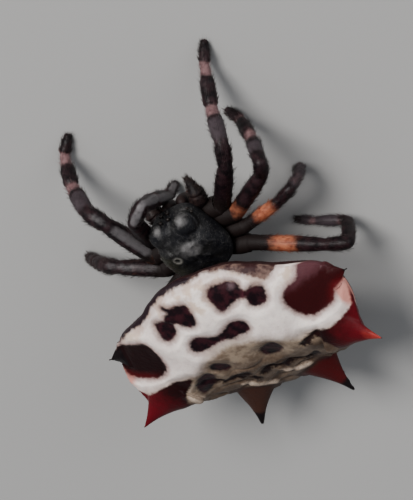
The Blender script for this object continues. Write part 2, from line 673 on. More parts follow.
class Paint:
    """One material: tools that add its nodes, and the colour laid so far."""

    def __init__(self, name):
        self.material = bpy.data.materials.new(name)
        self.material.use_nodes = True
        self.tree = self.material.node_tree
        self.shader = self.tree.nodes["Principled BSDF"]
        self.colour = None
        self.ragged = 0.0

    def put(self, socket, value):
        """Link a socket to another one, or set it to a number or to a colour by its name."""
        if isinstance(value, bpy.types.NodeSocket):
            self.tree.links.new(value, socket)
        elif isinstance(value, str):
            socket.default_value = (*COLOURS[value], 1.0)
        else:
            socket.default_value = value

    def node(self, kind, output, values, **settings):
        """Add a node with its settings and its sockets' values, and return one output."""
        node = self.tree.nodes.new("ShaderNode" + kind)
        for key, value in settings.items():
            setattr(node, key, value)
        for socket, value in values.items():
            self.put(node.inputs[socket], value)
        return node.outputs[output]

    def mark(self, name):
        """Return the number stored on the skin under a name."""
        return self.node("Attribute", "Fac", {}, attribute_name=name)

    def place(self):
        """Return the point's place on the object."""
        return self.node("TexCoord", "Object", {})

    def noise(self, per_mm, detail):
        """Return noise with so many features per millimetre."""
        values = {"Scale": per_mm / MM, "Detail": detail, "Roughness": 0.55, "Vector": self.place()}
        return self.node("TexNoise", "Fac", values)

    def cells(self, per_mm):
        """Return the distance to the nearest cell's middle, for grains and pits."""
        return self.node("TexVoronoi", "Distance", {"Scale": per_mm / MM, "Vector": self.place()})

    def calc(self, operation, *numbers):
        """Return a sum, product or other operation on numbers."""
        return self.node("Math", 0, dict(enumerate(numbers)), operation=operation)

    def times(self, a, b):
        """Return a product."""
        return self.calc("MULTIPLY", a, b)

    def ease(self, value, low, high):
        """Rise smoothly from 0 where the value is low to 1 where it is high."""
        values = {"Value": value, "From Min": low, "From Max": high}
        return self.node("MapRange", "Result", values, interpolation_type="SMOOTHSTEP")

    def mix(self, share, low, high):
        """Mix two colours by a share."""
        return self.node("Mix", 2, {0: share, 6: low, 7: high}, data_type="RGBA")

    def bumps(self, height, distance, strength, before=None):
        """Return a surface direction bent by a height; distance is in millimetres."""
        values = {"Strength": strength, "Distance": distance * MM, "Height": height}
        if before:
            values["Normal"] = before
        return self.node("Bump", "Normal", values)

    def wobble(self, per_mm, detail, amount):
        """Return noise round 0."""
        return self.times(self.calc("SUBTRACT", self.noise(per_mm, detail), 0.5), amount)

    def patches(self, per_mm, detail, low, high):
        """Return patches of 0 and 1 with soft edges."""
        return self.ease(self.noise(per_mm, detail), low, high)

    def where(self, name, low, high, ragged=1.0):
        """Return a mark as a share with a ragged edge: 0 at its low value and 1 at its high one."""
        edged = self.calc("ADD", self.mark(name), self.times(self.ragged, ragged))
        return self.ease(edged, low, high)

    def lay(self, tone, share, strength=None):
        """Lay a colour over those so far."""
        if strength:
            share = self.times(share, strength)
        self.colour = self.mix(share, self.colour, tone)

    def finish(self, roughness, specular, normal=None):
        """Give the shader its values and return the material."""
        values = {"Base Color": self.colour, "Roughness": roughness, "Specular IOR Level": specular}
        if normal:
            values["Normal"] = normal
        for socket, value in values.items():
            self.put(self.shader.inputs[socket], value)
        return self.material


def shell_material():
    """White shell with dark spots, red side spines, dark tips and a brown rear and underside."""
    paint = Paint("spiny_shell")
    lay, mix, where, ease, times = paint.lay, paint.mix, paint.where, paint.ease, paint.times
    paint.ragged = paint.calc("ADD", paint.wobble(1.6, 4.0, 0.26), paint.wobble(6.0, 3.0, 0.16))
    rightness = paint.mark("rightness")

    # White plate, dirty in patches, cream in front and flushed between the side spines
    paint.colour = mix(paint.patches(0.7, 4.0, 0.36, 0.66), "white", "white_shade")
    lay("dirt", paint.patches(4.5, 3.0, 0.52, 0.80), 0.35)
    edged_front = paint.calc("ADD", paint.mark("front"), paint.ragged)
    lay("cream", ease(times(edged_front, paint.patches(1.7, 3.0, 0.34, 0.62)), 0.1, 0.9), 0.85)
    lay("valley", where("cushion", 0.62, 0.02, 1.4), 0.45)
    lay("flush", where("pink", 0.15, 0.75, 1.5))

    # Beige rear with its creases, folds and streaks
    beige = where("beige", -0.15, 0.78, 1.6)
    lay(mix(paint.patches(2.2, 4.0, 0.36, 0.64), "tan_dark", "tan_light"), beige)
    lay("rear_brown", where("beige", 1.3, 2.2, 1.5), 0.62)
    lay("crease", times(where("crease", 0.70, 0.0, 1.2), paint.mark("furrows")), 0.7)
    lay("dusk", where("dusk", 0.15, 0.85, 1.2), 0.80)
    lay("puff", where("cream_fold", 0.24, 0.0, 1.4), 0.80)
    lay("streak", where("streak", 0.26, 0.08, 1.8))

    # Front rim, tail spines and underside
    rim = mix(paint.patches(2.0, 4.0, 0.42, 0.66), "rim_dark", "rim_grey")
    lay(mix(where("rightness", 0.62, 0.42), rim, "rim_left"), where("band", -0.05, 0.12, 1.1))
    tail_red = times(ease(rightness, 0.2, 0.8), where("tail", 0.62, 1.0))
    lay(mix(tail_red, "tail_brown", "tail_red"), where("tail", 0.35, 0.62))
    belly = mix(paint.noise(3.0, 3.0), "belly_dark", "belly_brown")
    islands = times(paint.patches(1.1, 2.0, 0.60, 0.66), paint.mark("belly"))
    lay(mix(islands, belly, "belly_yellow"), where("under", 0.40, 0.60))

    # Red side spines, black at the root
    red_share = where("red", 0.08, -0.08)
    red = mix(where("red_reach", 0.0, 0.62, 1.2), "red_root", "red")
    glow = times(where("red_reach", 0.62, 0.92, 1.2), ease(rightness, 0.2, 0.8))
    lay(mix(glow, red, "red_glow"), red_share)

    # Spots with their halos, and the dark corners in front
    halo = times(where("spot", 0.24, 0.04, 1.2), paint.calc("MULTIPLY_ADD", beige, -0.50, 0.55))
    lay(mix(beige, "halo", "halo_rear"), halo)
    lay("bridge", where("bridge", 0.10, -0.10))
    spot = where("spot", 0.09, -0.09)
    lay(mix(paint.patches(2.6, 3.0, 0.40, 0.66), "spot", "spot_light"), spot)
    lay("spot_grey", where("grey", 0.24, 0.0), 0.70)
    lay("corner_halo", where("corner", 0.22, 0.04, 1.2), 0.5)
    corner = where("corner", 0.09, -0.09)
    tone = mix(ease(rightness, 0.3, 0.9), "corner_left", "corner_right")
    tone = mix(times(where("corner", -0.50, -0.10, 0.5), paint.mark("rosy")), tone, "corner_rosy")
    lay(mix(where("corner_front", -0.1, 0.45, 1.5), tone, "corner_front"), corner)
    lay("black_tip", where("tips", 0.46, 0.70))

    gloss = paint.calc("MAXIMUM", red_share, paint.calc("MAXIMUM", spot, corner))
    paint.put(paint.shader.inputs["Subsurface Weight"], 0.05)
    paint.put(paint.shader.inputs["Subsurface Radius"], (0.00025, 0.00016, 0.00012))
    grain = paint.bumps(paint.cells(9.0), 0.012, 0.5)
    folds = paint.bumps(paint.noise(2.6, 4.0), 0.040, 0.6, grain)
    return paint.finish(paint.calc("MULTIPLY_ADD", gloss, -0.10, 0.52), 0.16, folds)


def carapace_material():
    """Dull grey-black shell with a dusting of pale down."""
    paint = Paint("dark_carapace")
    paint.ragged = paint.wobble(3.5, 4.0, 0.9)
    paint.colour = paint.mix(paint.patches(1.3, 4.0, 0.35, 0.68), "carapace", "carapace_grey")
    paint.lay("dust", paint.where("dust", 0.15, 0.95))
    paint.lay("olive", paint.where("olive", 0.3, 0.9), 0.6)
    paint.lay("pale_ring", paint.mark("ring"))
    paint.lay("soft_side", paint.mark("soft"))
    grain = paint.bumps(paint.cells(11.0), 0.020, 0.7)
    return paint.finish(0.48, 0.17, paint.bumps(paint.noise(3.5, 5.0), 0.060, 0.7, grain))


def lay_leg_colours(paint):
    """Lay the colours of the legs: dark brown with pale rings and orange femora."""
    paint.ragged = paint.wobble(4.0, 4.0, 0.8)
    paint.colour = paint.mix(paint.patches(2.6, 4.0, 0.38, 0.66), "leg_dark", "leg_brown")
    paint.lay("leg_base", paint.where("base", 0.2, 0.9))
    paint.lay("leg_grey", paint.where("grey", 0.3, 1.0))
    paint.lay("leg_stripe", paint.where("stripe", 0.15, 0.95))
    patches = paint.patches(5.0, 4.0, 0.38, 0.66)
    paint.lay(paint.mix(patches, "ring_pink", "ring_dull"), paint.where("pale", 0.22, 1.02))
    paint.lay(paint.mix(patches, "orange", "orange_deep"), paint.where("orange", 0.18, 1.10))


def leg_material():
    """Leg shell, glossier away from the chest."""
    paint = Paint("glossy_leg")
    lay_leg_colours(paint)
    roughness = paint.calc("MULTIPLY_ADD", paint.mark("base"), 0.20, 0.46)
    grain = paint.bumps(paint.cells(14.0), 0.010, 0.5)
    return paint.finish(roughness, 0.17, paint.bumps(paint.noise(6.0, 3.0), 0.016, 0.5, grain))


def leg_bristle_material():
    """Leg bristles, which take the leg's own rings."""
    paint = Paint("leg_bristle")
    lay_leg_colours(paint)
    paint.lay("leg_bristle_tip", paint.mark("along"), 0.12)
    return paint.finish(0.50, 0.20)


def mouthpart_material():
    """Smooth brown-black jaws, palps and spinnerets."""
    paint = Paint("dark_mouthpart")
    paint.colour = paint.mix(paint.patches(3.0, 4.0, 0.35, 0.7), "mouth_dark", "mouth_brown")
    return paint.finish(0.50, 0.15, paint.bumps(paint.cells(12.0), 0.010, 0.5))


def bristle_material(name, root, tip):
    """Fine bristles, which change colour from root to tip."""
    paint = Paint(name)
    along = paint.times(paint.mark("along"), 0.7)
    tone = paint.calc("ADD", along, paint.times(paint.noise(4.0, 2.0), 0.4))
    paint.colour = paint.mix(tone, root, tip)
    return paint.finish(0.55, 0.15)


def plain_material(name, per_mm, tones, roughness, specular):
    """Two tones that change over in noise."""
    paint = Paint(name)
    paint.colour = paint.mix(paint.noise(per_mm, 2.0), *tones)
    return paint.finish(roughness, specular)


SHELL = shell_material()
CARAPACE = carapace_material()
LEG = leg_material()
MOUTHPART = mouthpart_material()
CLAW = plain_material("hard_claw", 8.0, ("claw_dark", "claw_brown"), 0.38, 0.25)
EYE = plain_material("wet_eye", 6.0, ("eye_black", "eye_amber"), 0.20, 0.22)
LEG_BRISTLE = leg_bristle_material()
PALE_DOWN = bristle_material("pale_down", "down_root", "down_tip")
DARK_BRISTLE = bristle_material("dark_bristle", "bristle_root", "bristle_tip")


# Bristles


def bristles(name, roots, directions, lengths, radius, bend, uv, values, material):
    """Make many thin curved bristles as one mesh; each has three sides and two lengths."""
    number = len(roots)
    directions = directions / np.linalg.norm(directions, axis=1)[:, None]
    steep = np.abs(directions[:, 2:3]) > 0.8
    across = np.cross(directions, np.where(steep, np.array([[1.0, 0, 0]]), np.array([[0, 0, 1.0]])))
    across /= np.linalg.norm(across, axis=1)[:, None]
    other = np.cross(directions, across)
    lengths = np.broadcast_to(lengths, number)[:, None]
    bend = np.broadcast_to(bend, (number, 3))
    rings = []
    for station, share in ((-0.12, 1.0), (0.5, 0.72)):
        centre = roots + directions * lengths * station + bend * lengths * max(station, 0) ** 2
        for angle in turns(3):
            rings.append(centre + (across * cos(angle) + other * sin(angle)) * radius * share)
    rings.append(roots + directions * lengths + bend * lengths)
    points = np.stack(rings, axis=1).reshape(-1, 3)
    base = np.arange(number)[:, None] * BRISTLE_POINTS
    faces = []
    for i in range(3):
        j = (i + 1) % 3
        for triangle in ((i, j, 3 + j), (i, 3 + j, 3 + i), (3 + i, 3 + j, 6)):
            faces.append(base + np.array([triangle]))
    faces.append(base + np.array([[2, 1, 0]]))
    faces = np.stack(faces, axis=1).reshape(-1, 3)
    values = {key: np.repeat(value, BRISTLE_POINTS) for key, value in values.items()}
    values["along"] = np.tile([0, 0, 0, 0.5, 0.5, 0.5, 1.0], number)
    mesh = add_piece(name, (points, faces.tolist()), material, values=values)
    corner = np.array([(0, 0), (0.5, 1), (1, 0), (0, 0.3), (0.5, 0.8), (1, 0.3), (0.5, 0.5)]) - 0.5
    spots = (uv[:, None, :] + corner[None] * BAKE_PATCH).reshape(-1, 2)
    layer = mesh.uv_layers.new(name="OFBake")
    corners = np.zeros(len(mesh.loops), np.int32)
    mesh.loops.foreach_get("vertex_index", corners)
    layer.data.foreach_set("uv", spots[corners].astype(np.float32).ravel())


def scatter(points, keep, spacing, seed):
    """Pick random points of a skin, about so far apart in millimetres, where keep is high."""
    random = np.random.default_rng(seed)
    chosen = []
    taken = set()
    for i in random.permutation(len(points)):
        if random.random() > keep[i]:
            continue
        key = tuple((points[i] / spacing).astype(int))
        if key in taken:
            continue
        taken.add(key)
        chosen.append(i)
    return np.array(chosen, int)


# Abdomen


def plate_ring(edge, share):
    """Return the ring of the back plate at a share of the way from its top to its edge."""
    backward = np.clip((CURVE_CHANGE_START - edge[:, 1]) / CURVE_CHANGE_LENGTH, 0, 1)
    curve = PLATE_CURVE_FRONT + (PLATE_CURVE_REAR - PLATE_CURVE_FRONT) * backward
    ring = PLATE_TOP + (edge - PLATE_TOP) * share
    ring[:, 2] = edge[:, 2] + (PLATE_TOP[2] - edge[:, 2]) * (1 - share ** curve)
    return ring


def spine_ends(kind, side):
    """Return the root and the tip of a spine."""
    root, tip = SPINES[kind][:2]
    return np.array(root) * (side, 1, 1), np.array(tip) * (side, 1, 1)


def spine_surface(kind, side):
    """Return the surface of one spine, an ellipse in section, from its root to its tip."""
    root, tip = spine_ends(kind, side)
    half_width, half_thickness = SPINES[kind][2:]
    across, upward = side_axes((tip - root) / np.linalg.norm(tip - root))
    angle = turns(SPINE_SIDES)
    rings = []
    for station in np.linspace(0, 0.985, SPINE_STEPS):
        share = (1 - station) ** SPINE_FLARE
        centre = root + (tip - root) * station
        rings.append(centre + np.outer(np.cos(angle), across) * half_width * share
                     + np.outer(np.sin(angle), upward) * half_thickness * share)
    rings.append(tip)
    return skin_rings(rings)


def spine_reach(points, kind, side):
    """Return how far along a spine each point is, and how near to its middle line."""
    root, tip = spine_ends(kind, side)
    length = np.linalg.norm(tip - root)
    along = (tip - root) / length
    offset = points - root
    reach = offset @ along / length
    aside = np.linalg.norm(offset - np.outer(offset @ along, along), axis=1)
    allowed = SPINES[kind][2] * np.clip(1 - reach, 0, 1.4) ** SPINE_FLARE * SPINE_ALLOWANCE + 0.08
    return reach, np.where(reach > -0.3, 1 - smooth_step(0.9, 1.15, aside / allowed), 0.0)


def edge_distance(points, start, end):
    """Return the distance in plan view from a straight line between two points."""
    x, y = points[:, 0], points[:, 1]
    along_x, along_y = end[0] - start[0], end[1] - start[1]
    share = ((x - start[0]) * along_x + (y - start[1]) * along_y) / (along_x ** 2 + along_y ** 2)
    share = np.clip(share, 0, 1)
    return np.hypot(x - start[0] - share * along_x, y - start[1] - share * along_y)


def outline_distance(points, corners):
    """Return the distance from an outline in plan view, negative inside it."""
    x, y = points[:, 0], points[:, 1]
    nearest = np.full(len(points), 9.0)
    inside = np.zeros(len(points), bool)
    corners = np.asarray(corners)
    for (ax, ay), (bx, by) in zip(corners, np.roll(corners, -1, axis=0)):
        nearest = np.minimum(nearest, edge_distance(points, (ax, ay), (bx, by)))
        crosses = (ay > y) != (by > y)
        if ay != by:
            inside ^= crosses & (x < ax + (y - ay) * (bx - ax) / (by - ay))
    return np.where(inside, -nearest, nearest)


def spot_distance(points, outlines):
    """Return the distance from the nearest of some rounded outlines, negative inside it."""
    distances = [outline_distance(points, closed_curve(outline, 4)) for outline in outlines]
    return np.min(distances, axis=0)


def line_distance(points, lines):
    """Return the distance from the nearest of some bent lines in plan view."""
    nearest = np.full(len(points), 9.0)
    for line in lines:
        for start, end in zip(line, line[1:]):
            nearest = np.minimum(nearest, edge_distance(points, start, end))
    return nearest


def abdomen_surfaces(edge):
    """Return the closed surfaces of the back plate with its belly, and of the spines."""
    rings = [PLATE_TOP]
    for share in np.linspace(0.06, 1.0, PLATE_STEPS):
        rings.append(plate_ring(edge, share))
    stations = np.arange(len(BELLY_RINGS))
    reaches, depths = np.array(BELLY_RINGS).T
    for station in np.linspace(0, stations[-1], BELLY_STEPS)[1:]:
        reach = np.interp(station, stations, reaches)
        depth = np.interp(station, stations, depths)
        ring = BELLY_LOW_POINT + (edge - BELLY_LOW_POINT) * reach
        ring[:, 2] = edge[:, 2] + (BELLY_LOW_POINT[2] - edge[:, 2]) * depth
        rings.append(ring)
    return [skin_rings(rings)] + [spine_surface(kind, side) for kind, side in EACH_SPINE]


def stretch_tips(points):
    """Draw the tips of the spines out to their full length again and make them slender."""
    points = points.copy()
    for kind, side in EACH_SPINE:
        reach, inside = spine_reach(points, kind, side)
        root, tip = spine_ends(kind, side)
        farthest = reach[inside > 0.3].max()
        middle = root + np.outer(reach, tip - root)
        slim = inside * smooth_step(0.25, 1.0, reach) * TIP_SLIMNESS
        if kind == "front":
            slim = -inside * smooth_step(0.30, 0.60, reach) * smooth_step(1.02, 0.70, reach) * FRONT_SWELL
        points += (middle - points) * slim[:, None]
        points += np.outer(inside * smooth_step(0.3, farthest, reach) * (1 - farthest), tip - root)
    return points


def build_abdomen():
    """Make the abdomen's skin, with its sunken spots, furrows and six spines."""
    edge = closed_curve(both_sides(PLATE_EDGE), 10)
    points, quads, edges = remesh(abdomen_surfaces(edge), ABDOMEN_VOXEL)

    # Soften the spines' roots but keep their tips
    near_root = np.zeros(len(points))
    near_tip = np.zeros(len(points))
    for kind, side in EACH_SPINE:
        reach, inside = spine_reach(points, kind, side)
        near_tip = np.maximum(near_tip, inside * smooth_step(0.35, 0.8, reach))
        near_root = np.maximum(near_root, bell(reach - 0.15, 0.22) * (inside > 0))
    near_root = relax(near_root[:, None].repeat(3, axis=1), edges, 6, 0.8)[:, 0]
    points = relax(points, edges, ROOT_ROUNDS, 0.7 * near_root)
    points = settle(points, edges, SETTLE_ROUNDS)
    points = stretch_tips(points)

    values = abdomen_values(points, edge)
    normals = outward(points, quads)
    top = smooth_step(0.1, 0.6, normals[:, 2])
    plain = 1 - np.maximum(near_tip, smooth_step(0.1, 0.6, values["tail"]))
    sunk = smooth_step(SPOT_EDGE, -SPOT_EDGE, np.minimum(values["spot"], values["corner"] + 0.05))
    lift = (values["cushion"] * CUSHION_HEIGHT - sunk * SPOT_DEPTH) * top
    lift -= (1 - values["crease"]) * CREASE_DEPTH * values["furrows"] * plain
    lift += smooth_step(0.34, 0.0, values["cream_fold"]) * FOLD_HEIGHT * top
    lift -= smooth_step(0.22, 0.0, values["streak"]) * FOLD_HEIGHT * top
    lift += rough_noise(points * (1.0, 0.6, 1.0), 1.3, 3) * SHELL_ROUGHNESS * plain
    points = points + normals * lift[:, None]

    surface = (to_part(points, ABDOMEN), quads)
    add_piece("abdomen_skin", surface, SHELL, ("abdomen",), values)
    return points, normals, values, near_tip


def abdomen_values(points, edge):
    """Return the numbers that place the abdomen's markings."""
    x, y, z = points.T
    edge_turn = np.arctan2(edge[:, 1] + 1.0, edge[:, 0])
    order = np.argsort(edge_turn)
    rim = np.interp(np.arctan2(y + 1.0, x), edge_turn[order], edge[order, 2], period=2 * pi)
    below = smooth_step(0.02, 0.34, rim - z)
    red_reach = np.full(len(points), -0.5)
    red_spine = np.zeros(len(points))
    tail = np.zeros(len(points))
    tips = np.zeros(len(points))
    for kind, side in EACH_SPINE:
        reach, inside = spine_reach(points, kind, side)
        if kind == "rear":
            red_reach = np.where(x * side > 0, reach, red_reach)
            red_spine = np.maximum(red_spine, inside * smooth_step(0.0, 0.3, reach))
            tip = 0.9 * inside * smooth_step(0.88, 1.04, reach)
        elif kind == "tail":
            tail = np.maximum(tail, inside * smooth_step(0.02, 0.34, reach))
            tip = inside * smooth_step(0.50, 1.0, reach)
        else:
            start = 0.15 + 0.45 * (side > 0)
            tip = inside * smooth_step(start, start + 0.5, reach)
        tips = np.maximum(tips, tip)
    spined = np.maximum(np.maximum(red_spine, tail), tips)
    red = np.minimum(*[outline_distance(points, corner) for corner in RED_CORNERS])
    spot = spot_distance(points, SPOTS) - SPOT_SPREAD + 0.6 * below
    corner = spot_distance(points, CORNER_SPOTS) - SPOT_SPREAD + 0.5 * below
    band = np.clip(y - np.interp(x, *np.array(WHITE_FRONT).T), -1, 1)
    beige = np.clip(np.interp(x, *np.array(BEIGE_START).T) - y, -1, 2.5)
    nearest = np.minimum(np.minimum(spot, corner), np.minimum(red, -band))
    folded = np.abs(rough_noise(points * (0.6, 1.1, 1.1), 1.3, 4))
    return {
        "spot": spot,
        "bridge": outline_distance(points, BRIDGE) + 0.6 * below,
        "grey": np.hypot(x - GREY_PLACE[0], y - GREY_PLACE[1]) - 0.02,
        "corner": corner,
        "corner_front": (y - 0.42) * (x > 0) - (x < 0),
        "rosy": smooth_step(4.3, 5.4, x) + 0.6 * smooth_step(-3.6, -4.6, x) * smooth_step(-0.2, -0.9, y),
        "band": band,
        "front": smooth_step(0.9, 1.7, y + 0.12 * np.abs(x)) * (1 - below),
        "cushion": smooth_step(0.0, CUSHION_REACH, nearest) * (1 - below),
        "pink": blot(np.abs(x), y, (5.50, -0.72), 0.36, 0.70) * (1 + 0.4 * (x > 0)),
        "beige": beige,
        "crease": smooth_step(0.0, 0.30, folded),
        "cream_fold": line_distance(points, CREAM_LINES) + below,
        "dusk": blot(x, y, DUSK_PLACE, 0.90, 0.46),
        "streak": line_distance(points, STREAK_LINES) + below,
        "red": np.clip(red, -1, 1) + 0.8 * (below * (1 - red_spine)),
        "red_reach": red_reach,
        "tail": tail,
        "tips": tips,
        "rightness": smooth_step(-2.0, 2.0, x),
        "furrows": smooth_step(1.7, 2.7, beige) * smooth_step(4.2, 2.8, np.abs(x)) * (1 - below),
        "under": below * (1 - smooth_step(0.2, 0.6, spined)),
        "belly": smooth_step(0.6, 1.4, rim - z),
    }


def build_spinnerets():
    """Make the ring and the six spinning cones under the abdomen."""
    top = BELLY_LOW_POINT - np.array((0, 0, 0.05))
    circle = level_circle(ROUND_SIDES)
    parts = [skin_rings([top - np.array((0, 0, drop)) + circle * SPINNERET_RING_RADIUS * share
                         for drop, share in SPINNERET_RING])]
    for spot, lean, radius, length in SPINNERET_CONES:
        for side in SIDES.values():
            start = top + np.array((spot[0] * side, spot[1], -0.1))
            way = np.array((lean[0] * side, lean[1], -length))
            parts.append(skin_rings([start + way * along + circle * radius * share
                                     for along, share in CONE_PROFILE]))
    points, quads, edges = remesh(parts, SPINNERET_VOXEL)
    surface = (to_part(relax(points, edges, 4, 0.7), ABDOMEN), quads)
    add_piece("spinneret_skin", surface, MOUTHPART, ("spinnerets",))


# Head and chest


def carapace_ring(edge, share):
    """Return the ring of the carapace at a share of the way from its crest to its edge."""
    ring = CARAPACE_CREST + (edge - CARAPACE_CREST) * share
    behind = np.maximum(CARAPACE_CREST[1] - ring[:, 1], 0)
    height = CARAPACE_CREST[2] - behind * CARAPACE_REAR_SLOPE
    ring[:, 2] = edge[:, 2] + (height - edge[:, 2]) * (1 - share ** CARAPACE_FULLNESS) ** 0.5
    return ring


def chest_surfaces():
    """Return the closed surfaces of carapace, humps, chest, sternum and waist."""
    flat = closed_curve(both_sides(CARAPACE_EDGE), 12)

    def level_ring(height, share, stretch=1.0):
        return np.column_stack([flat * share * (1, stretch), np.full(len(flat), height)])

    edge = level_ring(CARAPACE_EDGE_HEIGHT, 1.0)
    shell = [CARAPACE_CREST]
    for share in np.sin(np.linspace(0.06, 1.0, CARAPACE_STEPS) * pi / 2):
        shell.append(carapace_ring(edge, min(share, 1.0)))
    shell += [level_ring(height, share) for height, share in SHELL_UNDERSIDE]
    parts = [skin_rings(shell)]
    for side in SIDES.values():
        parts.append(ellipsoid(HUMP_PLACE * (side, 1, 1), HUMP_RADII, *HUMP_DIVISIONS))
    parts.append(skin_rings([level_ring(height, share, CORE_STRETCH) for height, share in CHEST_CORE]))
    oval = level_circle(ROUND_SIDES) * (STERNUM_HALF_WIDTH, STERNUM_HALF_LENGTH, 0)
    parts.append(skin_rings([oval * share + np.array((0, 0, height)) for height, share in STERNUM]))
    front_end = (PEDICEL_FRONT - CHEST_PLACE) @ CHEST_TURN
    rear_end = (PEDICEL_REAR - CHEST_PLACE) @ CHEST_TURN
    way = rear_end - front_end
    spokes = spokes_round(turns(ROUND_SIDES), *side_axes(way / np.linalg.norm(way)))
    parts.append(skin_rings([front_end + way * along + spokes * radius for along, radius in WAIST]))
    return parts


def build_chest():
    """Make one skin for carapace, chest, sternum and waist."""
    points, quads, edges = remesh(chest_surfaces(), CHEST_VOXEL)
    points = relax(points, edges, 3, 0.6)
    points = settle(points, edges, 10)
    normals = outward(points, quads)
    x, y, z = points.T
    above = smooth_step(0.0, 0.3, normals[:, 2]) * smooth_step(2.9, 3.1, z)
    off_fovea = np.hypot(x - FOVEA[0], y - FOVEA[1])
    off_groove = np.abs(np.abs(x) - (0.30 + 0.42 * np.clip(y + 0.2, 0, 1.6)))
    off_ring = np.hypot(x - PALE_RING[0], y - PALE_RING[1])
    off_hump = np.hypot(np.abs(x) - HUMP_PLACE[0], y - HUMP_PLACE[1])
    groove = bell(off_groove, 0.10) * smooth_step(-0.3, 0.1, y) * smooth_step(1.2, 0.7, y)
    rays = np.cos(np.arctan2(y - FOVEA[1], x) * RAY_COUNT)
    rays = rays * smooth_step(0.3, 0.7, off_fovea) * smooth_step(0.6, -0.1, y)
    ring = bell(off_ring - PALE_RING_RADIUS, 0.05) * above
    pit = bell(off_fovea, 0.12) + 0.6 * bell(off_ring, 0.08)
    moat = bell(off_hump - MOAT_PLACE, 0.13)
    lift = above * (-GROOVE_DEPTH * groove + RAY_HEIGHT * rays + RING_HEIGHT * ring - PIT_DEPTH * pit
                    - MOAT_DEPTH * moat)
    lift += above * rough_noise(points, 2.2, 7) * CHEST_ROUGHNESS
    points = points + normals * lift[:, None]
    tufts = np.maximum(*[blot(x, y, place, reach, reach) for place, reach in TUFTS])
    patch = blot(x, y, PALE_PATCH, 0.50, 0.40)
    dust = np.clip(0.12 + 0.62 * tufts + 0.72 * patch, 0, 1) * above
    values = {
        "dust": dust,
        "olive": above * smooth_step(-0.3, -1.2, x) * smooth_step(0.9, 0.2, y),
        "ring": 0.75 * ring,
        "soft": smooth_step(2.86, 2.70, z) * (1 - smooth_step(2.2, 1.95, z)),
    }
    surface = (to_part(points, CHEST), quads)
    add_piece("chest_skin", surface, CARAPACE, ("carapace", "sternum", "pedicel"), values)
    return points, normals, dust


def build_eyes():
    """Make eight wet eyes where the solids have them."""
    for name in EYE_NAMES:
        for side in SIDES:
            node = "eye_" + name + "_" + side
            low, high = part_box(node)
            centre = np.array((low + high) / 2) / MM
            radius = max(high - low) / MM / 2
            ball = ellipsoid(centre, (radius,) * 3, *EYE_DIVISIONS)
            add_piece(node + "_ball", ball, EYE, (node,))


def build_jaws():
    """Make the two stout jaws and their folded fangs."""
    circle = level_circle(JAW_SIDES)
    for side_name, side in SIDES.items():
        centre = CHELICERA_PLACE * (side, 1, 1)
        rings = []
        for station in np.linspace(-0.98, 0.98, JAW_STEPS):
            width = (1 - station ** 2) ** 0.5 * (1 + 0.12 * station)
            shift = np.array((0, 0.04 * station, station * CHELICERA_RADII[2]))
            rings.append(centre + (circle * CHELICERA_RADII * width + shift))
        points, faces = skin_rings([rings[0].mean(0), *rings, rings[-1].mean(0)])
        add_piece("jaw_" + side_name, (to_part(points, CHEST), faces), MOUTHPART,
                  ("chelicera_" + side_name,))
        path = []
        for t in np.linspace(0, 1, FANG_STEPS):
            swing = radians(-70 + 150 * t)
            path.append(centre + np.array((-0.02 * side - 0.10 * side * sin(swing), 0.10 - 0.26 * t,
                                           -0.46 - 0.10 * cos(swing))))
        radii = FANG_RADIUS * (1 - np.linspace(0, 1, FANG_STEPS)) ** 0.7 + 0.006
        points, faces = tube(np.array(path), radii, FANG_SIDES)
        add_piece("fang_" + side_name, (to_part(points, CHEST), faces), CLAW)


def build_palps():
    """Make the two palps with their bristles."""
    for side, knots in PALP_PATHS.items():
        where = np.linspace(0, len(knots) - 1, PALP_STEPS)
        path = [np.interp(where, np.arange(len(knots)), axis) for axis in np.array(knots).T]
        path = np.stack(path, axis=1)
        for _ in range(12):
            path[1:-1] = (path[:-2] + path[2:]) / 2
        radii = curve_through(list(enumerate(PALP_RADII)), where)
        joint = bell(where - np.round(where), 0.08) * (where > 0.5) * (where < 3.6)
        radii = radii * (1 - PALP_NARROWING * joint)
        path = to_part(path, CHEST)
        add_piece("palp_skin_" + side, tube(path, radii, PALP_SIDES), MOUTHPART,
                  ("palp_" + side,))
        random = np.random.default_rng(31)
        rings, spokes, tangent = tube_rings(path, radii, PALP_SIDES)
        row = random.integers(8, PALP_STEPS, PALP_BRISTLES)
        turn = random.integers(0, PALP_SIDES, PALP_BRISTLES)
        lie = spokes[row, turn] * 0.40 + tangent[row] * 0.9 + random.normal(0, 0.15, (PALP_BRISTLES, 3))
        uv = np.column_stack([turn / PALP_SIDES, row / PALP_STEPS])
        lengths = random.uniform(*PALP_BRISTLE_LENGTHS, PALP_BRISTLES)
        bristles("palp_bristles_" + side, rings[row, turn], lie, lengths, BRISTLE_RADIUS,
                 tangent[row] * 0.2, uv, {}, DARK_BRISTLE)


# Legs


def direction(heading, rise):
    """Return the unit vector of a heading from straight ahead and a rise, in degrees."""
    turn = radians(heading)
    lift = radians(rise)
    return np.array((sin(turn) * cos(lift), cos(turn) * cos(lift), sin(lift)))


def leg_joints(side, pair, pose):
    """Return the seven joints of a leg from chest to foot, in the frame of the part."""
    start = (COXA_STARTS[pair][0] * side, COXA_STARTS[pair][1], COXA_HEIGHT)
    hip = (HIP_PLACES[pair][0] * side, HIP_PLACES[pair][1], HIP_HEIGHT)
    joints = list(to_part(np.array([start, hip]), CHEST))
    for length, (heading, rise) in zip(LEG_LENGTHS[pair][:4], pose[:4]):
        joints.append(joints[-1] + direction(heading, rise) * length)
    tarsus = LEG_LENGTHS[pair][4]
    drop = asin(min(joints[-1][2] / tarsus, STEEPEST_TARSUS))
    foot = joints[-1] + direction(pose[4], 0) * tarsus * cos(drop)
    foot[2] = 0.0
    return np.array(joints + [foot])


